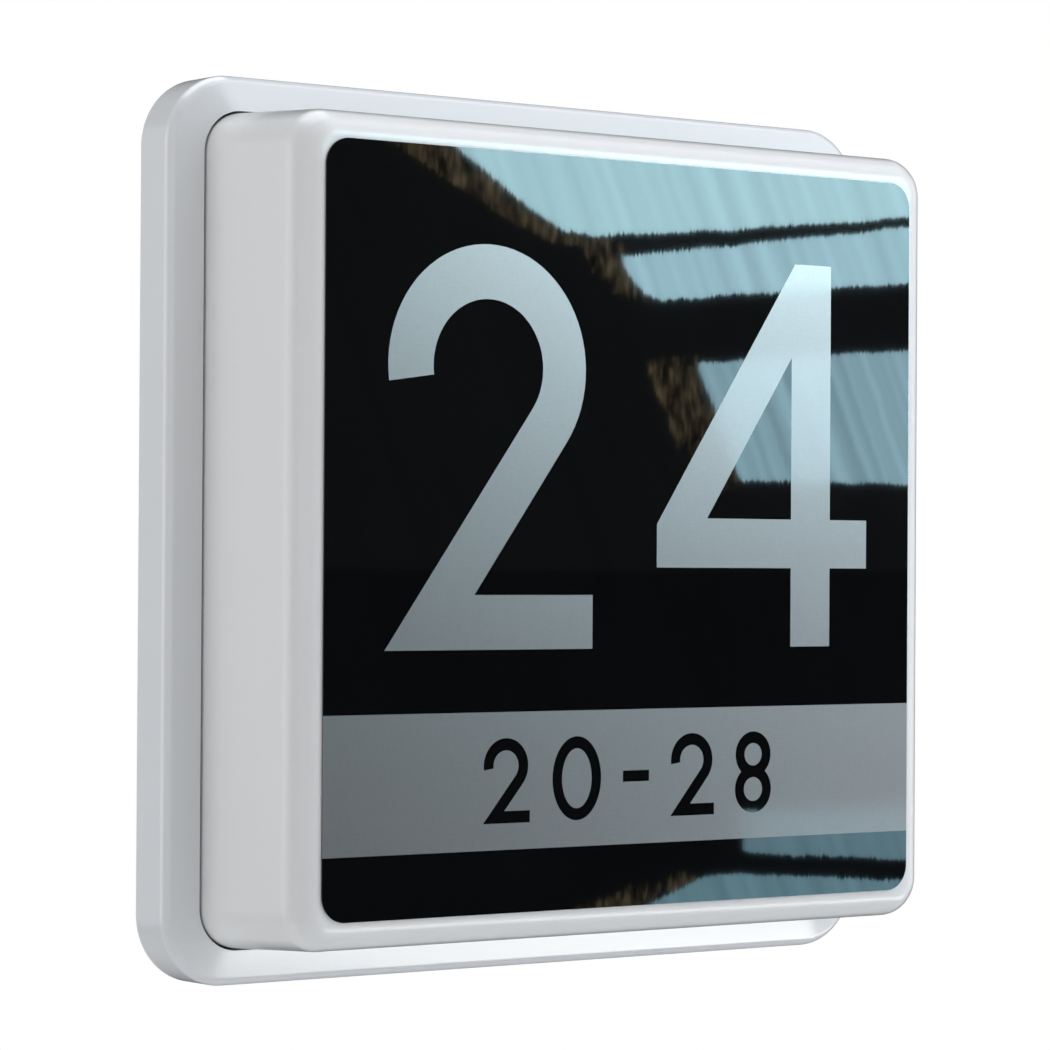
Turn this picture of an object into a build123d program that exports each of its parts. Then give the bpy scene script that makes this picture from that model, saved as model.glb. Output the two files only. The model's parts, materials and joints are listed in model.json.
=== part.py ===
from build123d import *
from math import cos, radians, tan
import os

# Illuminated house number sign: a square wall luminaire with a pull-off opal cover.
# The origin is the middle of the back face, on the wall. +X runs to the right and +Z up
# for someone who reads the sign, and the front faces -Y. A "depth" is a distance from the
# wall towards that reader, and a "half" is a distance from the middle to a side.

# ---------------------------------------------------------------- driving dimensions, mm
base_side = 240.0                # outer width and height of the housing
base_corner_radius = 19.0
side_wall_depth = 14.2           # wall plane to the outer edge of the flange
flange_width = 9.6               # sloped face between the side wall and the cover
flange_rise = 2.3                # its inner edge stands this much further out
flange_edge_radius = 3.0
housing_wall = 2.4
floor_thickness = 2.5
opening_corner_radius = 11.5
overall_depth = 58.4             # wall plane to the front of the number panel

web_count = 7                    # webs along each side, in the groove behind the flange
web_thickness = 1.6
web_setback = 0.8                # the webs stop short of the wall

cover_gap = 0.5                  # joint all round, between the flange and the cover
cover_wall = 2.4
cover_draft = 2.85               # degrees
cover_edge_radius = 7.4          # rounding round the front face
skirt_step = 0.2                 # the skirt's wall is this much thinner on both faces
panel_border = 0.4               # flat strip left between the panel and the rounding
panel_corner_radius = 7.1
panel_layer = 0.25               # thickness of the silver sheet and of the black one

seal_groove_width = 4.6
seal_rib_wall = 1.6
seal_rib_height = 6.0
seal_height = 3.0
seal_fit = 0.15                  # room at each side of the seal, and under the cover
snap_height = 0.25               # cover's snap lugs, out from its skirt
snap_clearance = 0.05            # lugs to ridges while the cover is pulled off
snap_length = 14.0
snap_thickness = 1.6
snap_pitch = 110.0               # two lugs on each side of the cover
ridge_depth = 12.6               # middle of the housing's ridges
lug_drop = 2.4                   # the lugs lie this far behind the ridges

slot_width = 5.0                 # wall-screw slots
slot_length = 9.0
slot_inset = 10.4                # slot middles, in from the inner face of the seal rib
slot_rise = 3.8                  # slot middles, up from the pan's lower edge, and mirrored
slot_pad_margin = 3.0
slot_pad_height = 1.5

head_sides = 8                   # small round things that repeat have few faces: heads, bosses,
shank_sides = 6                  # lenses and leads have 8, shanks and screw holes 6
screw_pilot_radius = 1.3
screw_fit = 0.05                 # room between a screw and its hole
screw_head_radius = 2.8
screw_head_height = 1.8
boss_radius = 3.6
screw_grip = 5.0                 # length of thread in a boss
foot_floor = 1.0                 # left under the pilot holes of the shorter bosses

pan_lane = 20.0                  # free strip at each side of the reflector pan
pan_top_gap = 5.0
pan_depth = 9.0                  # back of the pan
pan_sheet = 0.8
pan_lip = 7.0
pan_flare = 22.0                 # degrees that the pan's lips lean outwards
pan_screw_inset = 7.0
pan_notch_width = 13.0           # way through the lower lip for the two LED leads
wiring_zone = 56.0               # height of the strip under the pan
zone_drop = 1.6                  # the driver's row lies this far under the middle of its strip

board_count = 4
leds_per_board = 3
board_width = 14.0
board_thickness = 1.6
board_margin = 15.0              # pan edge to the first and last board, and board ends
screw_hole_radius = 1.7          # clear hole for the same screw
board_screw_offset = 12.0        # from the last LED, inwards
board_screw_tip = 1.5            # out through the pan's back
led_side = 3.0
led_height = 0.7
led_inset = 21.0                 # board end to its first LED
lens_radius = 6.0
lens_height = 4.4
lens_rim_height = 1.4
lens_dimple_radius = 1.6
lens_dimple_depth = 0.8
lens_pocket_fit = 0.4            # room around the LED

connector_length = 7.0
connector_width = 8.0
connector_height = 4.2
connector_inset = 6.5            # board end to the connector's middle
connector_chamfer = 0.5
lead_pitch = 3.4                 # between the two leads of a pair

driver_length = 82.0
driver_width = 34.0
driver_height = 15.0
driver_wall = 1.6
driver_lid_thickness = 1.8
driver_corner_radius = 3.0
ear_width = 11.0
ear_thickness = 2.4
ear_gap = 0.4                    # boss under an ear to the side of its housing
driver_board_thickness = 1.4
driver_fit = 0.3                 # room around what is in the driver
transformer_length = 15.0
transformer_width = 18.0
transformer_height = 6.0
capacitor_radius = 3.0
capacitor_length = 14.0
capacitor_count = 2

terminal_poles = 3
terminal_pitch = 9.5
terminal_length = 20.0           # along the wires
terminal_height = 13.5           # with the chimneys
terminal_clamp_height = 7.5      # wire axis above the floor
terminal_block_height = 10.0     # up to the chimneys round the screws
terminal_cage_side = 5.0
terminal_cage_inset = 1.5        # block's end to the cage's
terminal_wire_side = 3.0
terminal_chimney_side = 6.4
terminal_screw_spread = 10.0     # between the two screws of one pole
terminal_screw_radius = 1.7
terminal_screw_height = 3.0
terminal_fit = 0.1
terminal_wire_depth = 4.0        # how far a lead goes into its clamp
zone_gap = 13.0                  # driver's ear to the terminal block

entry_hole_radius = 7.5
entry_recess_radius = 11.5
entry_recess_depth = 2.0
entry_web = 2.5
entry_rim_wall = 2.0
entry_gap = 10.0                 # terminal block to the rim of the cable entry
grommet_bore_radius = 4.25
grommet_flange_radius = 10.5
grommet_flange_thickness = 1.4
grommet_nose_radius = 5.8
grommet_nose_length = 5.0
grommet_fit = 0.1
grommet_sides = 24               # its outside; its bore is round

mains_lead_radius = 1.15
led_lead_radius = 0.75

# ---------------------------------------------------------------- what follows from them
base_half = base_side / 2
opening_half = base_half - flange_width
flange_depth = side_wall_depth + flange_rise
groove_depth = side_wall_depth - housing_wall

cover_half = opening_half - cover_gap
cover_corner_radius = opening_corner_radius - cover_gap
cover_face_depth = overall_depth - 2 * panel_layer
cover_lean = tan(radians(cover_draft))
cover_face_half = cover_half - (cover_face_depth - flange_depth) * cover_lean
rounding_width = cover_edge_radius * tan(radians(45 - cover_draft / 2))
panel_half = cover_face_half - rounding_width - panel_border

seal_rib_half = opening_half - seal_groove_width
well_half = seal_rib_half - seal_rib_wall          # free space inside the seal rib
well_corner_radius = opening_corner_radius - seal_groove_width - seal_rib_wall
seal_top = floor_thickness + seal_height
skirt_depth = seal_top + seal_fit
lug_depth = ridge_depth - lug_drop
ridge_height = cover_gap - snap_height - snap_clearance

slot_pad_depth = floor_thickness + slot_pad_height

pan_half_width = well_half - pan_lane
pan_top = well_half - pan_top_gap
pan_bottom = -well_half + wiring_zone
pan_middle_z = (pan_top + pan_bottom) / 2
slot_x = well_half - slot_inset
slot_z = -pan_bottom + slot_rise
slot_points = [(x, z) for x in (-slot_x, slot_x) for z in (-slot_z, slot_z)]
pan_height = pan_top - pan_bottom
board_depth = pan_depth + pan_sheet                # backs of the LED boards
lens_depth = board_depth + board_thickness
board_half_length = pan_half_width - board_margin
board_pitch = (pan_height - 2 * board_margin - board_width) / (board_count - 1)
board_z = [pan_bottom + board_margin + board_width / 2 + i * board_pitch for i in range(board_count)]
led_pitch = 2 * (board_half_length - led_inset) / (leds_per_board - 1)
led_x = [(i - (leds_per_board - 1) / 2) * led_pitch for i in range(leds_per_board)]
pan_screw_x = pan_half_width - pan_screw_inset
pan_screw_points = [
    (x, z)
    for x in (-pan_screw_x, pan_screw_x)
    for z in (pan_bottom + pan_screw_inset, pan_middle_z, pan_top - pan_screw_inset)
]
board_screw_x = led_x[-1] - board_screw_offset
board_screw_points = [(side * board_screw_x, z) for z in board_z for side in (-1, 1)]
connector_x = board_half_length - connector_inset
connector_depth = lens_depth + connector_height / 2

zone_z = -well_half + wiring_zone / 2 - zone_drop
foot_depth = screw_grip + foot_floor                # backs of the ears and feet, on their bosses
ear_length = 2 * (boss_radius + ear_gap)
entry_rim_radius = entry_recess_radius + entry_rim_wall
driver_row = driver_length + 2 * ear_length
terminal_row = zone_gap + terminal_length + entry_gap
zone_half = (driver_row + terminal_row) / 2 + entry_rim_radius       # the row is centred in the well
driver_left = ear_length - zone_half
driver_x = driver_left + driver_length / 2
driver_right = driver_left + driver_length
driver_front = floor_thickness + driver_height
driver_inset = driver_wall + driver_fit             # outside of the case to what it holds
driver_board_depth = floor_thickness + driver_wall
driver_parts_depth = driver_board_depth + driver_board_thickness
driver_inner_length = driver_length - 2 * driver_inset
driver_inner_width = driver_width - 2 * driver_inset
driver_screw_x = (driver_length + ear_length) / 2
driver_screw_points = [(driver_x + side * driver_screw_x, zone_z) for side in (-1, 1)]
terminal_x = driver_right + ear_length + zone_gap + terminal_length / 2
terminal_z = [zone_z + (i - (terminal_poles - 1) / 2) * terminal_pitch for i in range(terminal_poles)]
terminal_clamp_depth = floor_thickness + terminal_clamp_height
terminal_half_span = terminal_poles * terminal_pitch / 2
terminal_screw_offset = terminal_half_span + ear_length / 2
terminal_screw_points = [(terminal_x, zone_z + side * terminal_screw_offset) for side in (-1, 1)]
entry_x = zone_half - entry_rim_radius
entry_z = zone_z
entry_boss_depth = entry_recess_depth + entry_web
grommet_back = entry_recess_depth - grommet_flange_thickness
grommet_neck_radius = entry_hole_radius - grommet_fit
grommet_lip_front = entry_boss_depth + grommet_flange_thickness
grommet_front = grommet_lip_front + grommet_nose_length
led_lead_x = -connector_x


def facing(depth, x=0.0, z=0.0):
    """A plane parallel to the wall, seen as the reader sees it."""
    return Plane(origin=(x, -depth, z), x_dir=(1, 0, 0), z_dir=(0, -1, 0))


def edges_at(builder, depth):
    """The edges that lie in one plane parallel to the wall."""
    return builder.edges().filter_by_position(Axis.Y, -depth - 1e-4, -depth + 1e-4)


def leaning_block(rear_half_x, rear_half_z, rear_depth, front_depth, lean, middle_z=0.0):
    """A rectangular block with flat sides that lean inwards by lean mm per mm of depth."""
    step = (front_depth - rear_depth) * lean
    reach = max(rear_half_x, rear_half_z) + abs(step)
    seen_from_above = Plane.XY.offset(middle_z)
    seen_from_the_side = Plane(origin=(0, 0, middle_z), x_dir=(0, 0, 1), z_dir=(-1, 0, 0))
    views = ((seen_from_above, rear_half_x, Mode.ADD), (seen_from_the_side, rear_half_z, Mode.INTERSECT))
    with BuildPart() as block:
        for plane, half, mode in views:
            with BuildSketch(plane):
                with BuildLine():
                    Polyline(
                        (-half, -rear_depth),
                        (half, -rear_depth),
                        (half - step, -front_depth),
                        (step - half, -front_depth),
                        close=True,
                    )
                make_face()
            extrude(amount=reach, both=True, mode=mode)
    return block.part


def drafted_block(rear_half, rear_depth, front_depth, corner_radius, edge_radius):
    """A square block with leaning sides, rounded at its four corners and round its front."""
    with BuildPart() as block:
        add(leaning_block(rear_half, rear_half, rear_depth, front_depth, cover_lean))
        corners = block.edges().filter_by_position(Axis.Y, -front_depth + 1, -rear_depth - 1)
        fillet(corners, corner_radius)
        fillet(edges_at(block, front_depth), edge_radius)
    return block.part


def screw_holes(points, radius):
    """Many-sided holes that clear a round screw of this radius."""
    with Locations(*points):
        RegularPolygon(radius, shank_sides, major_radius=False)


def screw(shank_length):
    """A pan-head screw along Y, its head's flat underside at Y = 0 and its tip at +Y."""
    with BuildPart() as body:
        with BuildSketch(Plane.XZ):
            RegularPolygon(screw_head_radius, head_sides)
        extrude(amount=screw_head_height)
        with BuildSketch(Plane.XZ):
            RegularPolygon(screw_pilot_radius - screw_fit, shank_sides)
        extrude(amount=-shank_length)
    return body.part


# ---------------------------------------------------------------- housing
with BuildPart() as base_tray:
    # Side wall, and the sloped flange that frames the cover
    with BuildSketch(Plane.XZ):
        RectangleRounded(base_side, base_side, base_corner_radius)
    extrude(amount=flange_depth)
    front_face = base_tray.faces().sort_by(Axis.Y)[0]
    chamfer(edges_at(base_tray, flange_depth), flange_width, flange_rise, reference=front_face)
    fillet(edges_at(base_tray, side_wall_depth), flange_edge_radius)

    # Well that takes the cover's skirt and the gear
    with BuildSketch(Plane.XZ.offset(floor_thickness)):
        RectangleRounded(2 * opening_half, 2 * opening_half, opening_corner_radius)
    extrude(amount=flange_depth, mode=Mode.SUBTRACT)

    # Groove behind the flange, open to the wall, with webs across it
    with BuildSketch(Plane.XZ):
        groove_outer = base_side - 2 * housing_wall
        groove_inner = 2 * (opening_half + housing_wall)
        RectangleRounded(groove_outer, groove_outer, base_corner_radius - housing_wall)
        RectangleRounded(groove_inner, groove_inner, opening_corner_radius + housing_wall, mode=Mode.SUBTRACT)
    extrude(amount=groove_depth, mode=Mode.SUBTRACT)
    groove_middle = (groove_outer + groove_inner) / 4
    web_length = (groove_outer - groove_inner) / 2 + housing_wall
    web_pitch = 2 * (opening_half - base_corner_radius) / web_count
    with BuildSketch(Plane.XZ.offset(web_setback)):
        with PolarLocations(groove_middle, 4):
            with GridLocations(0, web_pitch, 1, web_count):
                Rectangle(web_length, web_thickness)
    extrude(amount=groove_depth - web_setback)

    # Rib that holds the seal in its groove
    with BuildSketch(Plane.XZ.offset(floor_thickness)):
        RectangleRounded(2 * seal_rib_half, 2 * seal_rib_half, opening_corner_radius - seal_groove_width)
        RectangleRounded(2 * well_half, 2 * well_half, well_corner_radius, mode=Mode.SUBTRACT)
    extrude(amount=seal_rib_height)

    # Snap ridges on the inner faces of the opening
    with BuildSketch(Plane.XZ.offset(ridge_depth)):
        with PolarLocations(opening_half, 4):
            with GridLocations(0, snap_pitch, 1, 2):
                Rectangle(2 * ridge_height, snap_length + 2 * snap_clearance)
    extrude(amount=snap_thickness / 2, both=True)

    # Bosses for the pan's screws, and the low ribs that brace them
    with BuildSketch(Plane.XZ.offset(floor_thickness)):
        with Locations(*pan_screw_points):
            RegularPolygon(boss_radius, head_sides)
    extrude(amount=pan_depth - floor_thickness)
    rib_height = (pan_depth - floor_thickness) / 2
    with BuildSketch(Plane.XZ.offset(floor_thickness)):
        for x in (-pan_screw_x, pan_screw_x):
            with Locations((x, pan_middle_z)):
                Rectangle(web_thickness, pan_height - 2 * pan_screw_inset)
        for z in (pan_bottom + pan_screw_inset, pan_middle_z, pan_top - pan_screw_inset):
            with Locations((0, z)):
                Rectangle(2 * pan_screw_x, web_thickness)
    extrude(amount=rib_height)
    with BuildSketch(Plane.XZ.offset(pan_depth)):
        screw_holes(pan_screw_points, screw_pilot_radius)
    extrude(amount=-screw_grip - screw_fit, mode=Mode.SUBTRACT)

    # Pads and slots for the wall screws
    with BuildSketch(Plane.XZ.offset(floor_thickness)):
        with Locations(*slot_points):
            Rectangle(slot_length + 2 * slot_pad_margin, slot_width + 2 * slot_pad_margin)
    extrude(amount=slot_pad_height)
    with BuildSketch(Plane.XZ):
        with Locations(*slot_points):
            SlotOverall(slot_length, slot_width)
    extrude(amount=slot_pad_depth, mode=Mode.SUBTRACT)

    # Cable entry: a rimmed hole, recessed at the back for the grommet's flange
    with BuildSketch(Plane.XZ.offset(floor_thickness)):
        with Locations((entry_x, entry_z)):
            Circle(entry_rim_radius)
    extrude(amount=entry_boss_depth - floor_thickness)
    with BuildSketch(Plane.XZ):
        with Locations((entry_x, entry_z)):
            Circle(entry_recess_radius)
    extrude(amount=entry_recess_depth, mode=Mode.SUBTRACT)
    with BuildSketch(Plane.XZ):
        with Locations((entry_x, entry_z)):
            Circle(entry_hole_radius)
    extrude(amount=entry_boss_depth, mode=Mode.SUBTRACT)

    # Bosses under the ears of the driver and the feet of the terminal block
    with BuildSketch(Plane.XZ.offset(floor_thickness)):
        with Locations(*driver_screw_points, *terminal_screw_points):
            RegularPolygon(boss_radius, head_sides)
    extrude(amount=foot_depth - floor_thickness)
    with BuildSketch(Plane.XZ.offset(foot_depth)):
        screw_holes([*driver_screw_points, *terminal_screw_points], screw_pilot_radius)
    extrude(amount=-screw_grip - screw_fit, mode=Mode.SUBTRACT)
base_tray.part.label = "base_tray"

with BuildPart() as cover_seal:
    with BuildSketch(Plane.XZ.offset(floor_thickness)):
        seal_outer = opening_half - seal_fit
        seal_inner = seal_rib_half + seal_fit
        RectangleRounded(2 * seal_outer, 2 * seal_outer, opening_corner_radius - seal_fit)
        inner_radius = opening_corner_radius - seal_groove_width + seal_fit
        RectangleRounded(2 * seal_inner, 2 * seal_inner, inner_radius, mode=Mode.SUBTRACT)
    extrude(amount=seal_height)
cover_seal.part.label = "cover_seal"

with BuildPart() as cable_grommet:
    # Flange in the recess, neck in the hole, lip over its edge, and a nose round the cable
    for radius, back, front in (
        (grommet_flange_radius, grommet_back, entry_recess_depth),
        (grommet_neck_radius, entry_recess_depth, entry_boss_depth),
        (grommet_neck_radius + grommet_flange_thickness, entry_boss_depth, grommet_lip_front),
        (grommet_nose_radius, grommet_lip_front, grommet_front),
    ):
        with BuildSketch(facing(back, entry_x, entry_z)):
            RegularPolygon(radius, grommet_sides)
        extrude(amount=front - back)
    with BuildSketch(facing(grommet_back, entry_x, entry_z)):
        Circle(grommet_bore_radius)
    extrude(amount=grommet_front - grommet_back, mode=Mode.SUBTRACT)
cable_grommet.part.label = "cable_grommet"

# ---------------------------------------------------------------- LED tray
with BuildPart() as reflector_pan:
    # A folded sheet tray with flared lips
    lip_lean = tan(radians(pan_flare))
    lip_depth = pan_depth + pan_lip
    half_height = pan_height / 2
    add(leaning_block(pan_half_width, half_height, pan_depth, lip_depth, -lip_lean, pan_middle_z))
    inset = pan_sheet / cos(radians(pan_flare)) - pan_sheet * lip_lean
    hollow_width = pan_half_width - inset
    hollow_height = half_height - inset
    hollow = leaning_block(hollow_width, hollow_height, board_depth, lip_depth, -lip_lean, pan_middle_z)
    add(hollow, mode=Mode.SUBTRACT)
    with BuildSketch(facing(pan_depth)):
        screw_holes(pan_screw_points, screw_hole_radius)
        screw_holes(board_screw_points, screw_pilot_radius)
    extrude(amount=pan_sheet, mode=Mode.SUBTRACT)
    with BuildSketch(facing(pan_depth + 3 * pan_sheet, led_lead_x, pan_bottom)):
        Rectangle(pan_notch_width, 2 * pan_lip)
    extrude(amount=pan_lip, mode=Mode.SUBTRACT)
reflector_pan.part.label = "reflector_pan"

pan_screw = screw(pan_sheet + screw_grip - screw_fit)
with BuildPart() as reflector_screws:
    with Locations(*[(x, -board_depth, z) for x, z in pan_screw_points]):
        add(pan_screw)
reflector_screws.part.label = "reflector_screws"

led_boards = []
for number, z in enumerate(board_z, start=1):
    with BuildPart() as led_board:
        with BuildSketch(facing(board_depth, z=z)):
            Rectangle(2 * board_half_length, board_width)
        extrude(amount=board_thickness)
        with BuildSketch(facing(board_depth, z=z)):
            screw_holes([(-board_screw_x, 0), (board_screw_x, 0)], screw_hole_radius)
        extrude(amount=board_thickness, mode=Mode.SUBTRACT)
    led_board.part.label = f"led_board_{number}"
    led_boards.append(led_board.part)

board_screw = screw(board_thickness + pan_sheet + board_screw_tip)
with BuildPart() as led_board_screws:
    with Locations(*[(x, -lens_depth, z) for x, z in board_screw_points]):
        add(board_screw)
led_board_screws.part.label = "led_board_screws"

led_points = [(x, -lens_depth, z) for z in board_z for x in led_x]
with BuildPart() as led_chips:
    with Locations(*led_points):
        Box(led_side, led_height, led_side, align=(Align.CENTER, Align.MAX, Align.CENTER))
led_chips.part.label = "led_chips"

with BuildPart() as lens:
    # Wide-angle lens over one LED: a low cone on a rim, dimpled, with a pocket underneath
    with BuildSketch(Plane.XZ):
        RegularPolygon(lens_radius, head_sides)
    extrude(amount=lens_height)
    chamfer(edges_at(lens, lens_height), lens_height - lens_rim_height)
    with BuildSketch(Plane.XZ.offset(lens_height)):
        RegularPolygon(lens_dimple_radius, head_sides)
    extrude(amount=-lens_dimple_depth, mode=Mode.SUBTRACT)
    pocket_side = led_side + 2 * lens_pocket_fit
    with BuildSketch(Plane.XZ):
        Rectangle(pocket_side, pocket_side)
    extrude(amount=led_height + lens_pocket_fit, mode=Mode.SUBTRACT)
with BuildPart() as led_lenses:
    with Locations(*led_points):
        add(lens.part)
led_lenses.part.label = "led_lenses"

with BuildPart() as board_connectors:
    with Locations(*[(side * connector_x, -lens_depth, z) for z in board_z for side in (-1, 1)]):
        connector_align = (Align.CENTER, Align.MAX, Align.CENTER)
        Box(connector_length, connector_height, connector_width, align=connector_align)
    chamfer(edges_at(board_connectors, lens_depth + connector_height), connector_chamfer)
board_connectors.part.label = "board_connectors"

# ---------------------------------------------------------------- driver
with BuildPart() as driver_case:
    with BuildSketch(facing(floor_thickness, driver_x, zone_z)):
        RectangleRounded(driver_length, driver_width, driver_corner_radius)
    extrude(amount=driver_height)
    with BuildSketch(facing(foot_depth, driver_x, zone_z)):
        SlotOverall(driver_length + 2 * ear_length, ear_width)
    extrude(amount=ear_thickness)
    with BuildSketch(facing(foot_depth)):
        screw_holes(driver_screw_points, screw_hole_radius)
    extrude(amount=ear_thickness, mode=Mode.SUBTRACT)
    with BuildSketch(facing(driver_board_depth, driver_x, zone_z)):
        hollow_length = driver_length - 2 * driver_wall
        Rectangle(hollow_length, driver_width - 2 * driver_wall)
    extrude(amount=driver_height, mode=Mode.SUBTRACT)
driver_case.part.label = "driver_case"

with BuildPart() as driver_lid:
    with BuildSketch(facing(driver_front, driver_x, zone_z)):
        RectangleRounded(driver_length, driver_width, driver_corner_radius)
    extrude(amount=driver_lid_thickness)
    chamfer(edges_at(driver_lid, driver_front + driver_lid_thickness), driver_lid_thickness / 3)
    with BuildSketch(facing(driver_front, driver_x, zone_z)):
        Rectangle(driver_inner_length, driver_inner_width)
    extrude(amount=-driver_wall)
driver_lid.part.label = "driver_lid"

with BuildPart() as driver_board:
    with BuildSketch(facing(driver_board_depth, driver_x, zone_z)):
        Rectangle(driver_inner_length, driver_inner_width)
    extrude(amount=driver_board_thickness)
driver_board.part.label = "driver_board"

with BuildPart() as driver_transformer:
    with Locations((driver_x, -driver_parts_depth, zone_z)):
        transformer_align = (Align.CENTER, Align.MAX, Align.CENTER)
        Box(transformer_length, transformer_height, transformer_width, align=transformer_align)
    chamfer(edges_at(driver_transformer, driver_parts_depth + transformer_height), driver_fit)
driver_transformer.part.label = "driver_transformer"

with BuildPart() as driver_capacitors:
    capacitor_spread = (driver_length + transformer_length) / 2
    with BuildSketch(Plane.XY.offset(zone_z - capacitor_length / 2)):
        with Locations((driver_x, -driver_parts_depth - capacitor_radius)):
            with GridLocations(capacitor_spread, 0, capacitor_count, 1):
                RegularPolygon(capacitor_radius, head_sides)
    extrude(amount=capacitor_length)
driver_capacitors.part.label = "driver_capacitors"

driver_screw = screw(ear_thickness + screw_grip - screw_fit)
with BuildPart() as driver_screws:
    with Locations(*[(x, -foot_depth - ear_thickness, z) for x, z in driver_screw_points]):
        add(driver_screw)
driver_screws.part.label = "driver_screws"

# ---------------------------------------------------------------- terminal block
pole_screw_points = [
    (terminal_x + side * terminal_screw_spread / 2, z) for z in terminal_z for side in (-1, 1)
]
with BuildPart() as terminal_block:
    # Block and feet, then a chimney round each screw
    with BuildSketch(facing(floor_thickness, terminal_x, zone_z)):
        Rectangle(terminal_length, 2 * terminal_half_span)
    extrude(amount=terminal_block_height)
    with BuildSketch(facing(foot_depth, terminal_x, zone_z)):
        Rectangle(ear_width, 2 * terminal_half_span + 2 * ear_length)
    extrude(amount=ear_thickness)
    with BuildSketch(facing(foot_depth)):
        screw_holes(terminal_screw_points, screw_hole_radius)
    extrude(amount=ear_thickness, mode=Mode.SUBTRACT)
    with BuildSketch(facing(floor_thickness + terminal_block_height)):
        with Locations(*pole_screw_points):
            Rectangle(terminal_chimney_side, terminal_chimney_side)
    extrude(amount=terminal_height - terminal_block_height)
    with BuildSketch(facing(terminal_clamp_depth)):
        screw_holes(pole_screw_points, terminal_screw_radius + terminal_fit)
    extrude(amount=terminal_height, mode=Mode.SUBTRACT)
    # A way through for each brass cage
    with BuildSketch(Plane.YZ.offset(terminal_x - terminal_length / 2)):
        with Locations(*[(-terminal_clamp_depth, z) for z in terminal_z]):
            Rectangle(terminal_cage_side + 2 * terminal_fit, terminal_cage_side + 2 * terminal_fit)
    extrude(amount=terminal_length, mode=Mode.SUBTRACT)
terminal_block.part.label = "terminal_block"

with BuildPart() as terminal_cages:
    cage_length = terminal_length - 2 * terminal_cage_inset
    with BuildSketch(Plane.YZ.offset(terminal_x - cage_length / 2)):
        with Locations(*[(-terminal_clamp_depth, z) for z in terminal_z]):
            Rectangle(terminal_cage_side, terminal_cage_side)
            Rectangle(terminal_wire_side, terminal_wire_side, mode=Mode.SUBTRACT)
    extrude(amount=cage_length)
    with BuildSketch(facing(terminal_clamp_depth)):
        screw_holes(pole_screw_points, terminal_screw_radius)
    extrude(amount=terminal_height, mode=Mode.SUBTRACT)
terminal_cages.part.label = "terminal_cages"

with BuildPart() as terminal_screws:
    screw_tip_depth = terminal_clamp_depth + mains_lead_radius + screw_fit
    with BuildSketch(facing(screw_tip_depth)):
        with Locations(*pole_screw_points):
            RegularPolygon(terminal_screw_radius - screw_fit, head_sides)
    extrude(amount=terminal_screw_height)
terminal_screws.part.label = "terminal_screws"

terminal_fixing_screw = screw(ear_thickness + screw_grip - screw_fit)
with BuildPart() as terminal_fixing_screws:
    with Locations(*[(x, -foot_depth - ear_thickness, z) for x, z in terminal_screw_points]):
        add(terminal_fixing_screw)
terminal_fixing_screws.part.label = "terminal_fixing_screws"

# ---------------------------------------------------------------- leads held inside
# Stiff single-core leads run straight: driver to terminals, driver to boards, board to board
mains_leads = []
for name, z in (("live_lead", terminal_z[0]), ("neutral_lead", terminal_z[-1])):
    with BuildPart() as mains_lead:
        with BuildSketch(Plane.YZ.offset(driver_right)):
            with Locations((-terminal_clamp_depth, z)):
                RegularPolygon(mains_lead_radius, head_sides)
        lead_end = terminal_x - terminal_length / 2 + terminal_wire_depth
        extrude(amount=lead_end - driver_right)
    mains_lead.part.label = name
    mains_leads.append(mains_lead.part)

led_leads = []
for name, side in (("led_positive_lead", -1), ("led_negative_lead", 1)):
    with BuildPart() as led_lead:
        with BuildSketch(Plane.XY.offset(zone_z + driver_width / 2)):
            with Locations((led_lead_x + side * lead_pitch / 2, -connector_depth)):
                RegularPolygon(led_lead_radius, head_sides)
        extrude(amount=board_z[0] - connector_width / 2 - zone_z - driver_width / 2)
    led_lead.part.label = name
    led_leads.append(led_lead.part)

with BuildPart() as jumper_leads:
    for number in range(board_count - 1):
        bank_x = connector_x if number % 2 == 0 else -connector_x
        with BuildSketch(Plane.XY.offset(board_z[number] + connector_width / 2)):
            with Locations((bank_x, -connector_depth)):
                with GridLocations(lead_pitch, 0, 2, 1):
                    RegularPolygon(led_lead_radius, head_sides)
        extrude(amount=board_pitch - connector_width)
jumper_leads.part.label = "jumper_leads"

# ---------------------------------------------------------------- cover and number panel
with BuildPart() as diffuser_cover:
    # Straight skirt down to the seal, then the leaning sides and the rounding round the face
    skirt_half = cover_half - skirt_step
    with BuildSketch(Plane.XZ.offset(skirt_depth)):
        RectangleRounded(2 * skirt_half, 2 * skirt_half, cover_corner_radius)
    extrude(amount=flange_depth - skirt_depth)
    add(drafted_block(cover_half, flange_depth, cover_face_depth, cover_corner_radius, cover_edge_radius))

    # Hollow, one wall smaller all over
    hollow_half = cover_half - cover_wall
    hollow_depth = cover_face_depth - cover_wall
    hollow_radius = cover_corner_radius - cover_wall
    skirt_hollow = 2 * (hollow_half + skirt_step)
    with BuildSketch(Plane.XZ.offset(skirt_depth)):
        RectangleRounded(skirt_hollow, skirt_hollow, hollow_radius)
    extrude(amount=flange_depth - skirt_depth, mode=Mode.SUBTRACT)
    hollow_edge_radius = cover_edge_radius - cover_wall
    hollow = drafted_block(hollow_half, flange_depth, hollow_depth, hollow_radius, hollow_edge_radius)
    add(hollow, mode=Mode.SUBTRACT)

    # Snap lugs on the outside of the skirt
    with BuildSketch(Plane.XZ.offset(lug_depth)):
        with PolarLocations(skirt_half, 4):
            with GridLocations(0, snap_pitch, 1, 2):
                Rectangle(2 * (snap_height + skirt_step), snap_length)
    extrude(amount=snap_thickness / 2, both=True)
diffuser_cover.part.label = "diffuser_cover"

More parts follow.
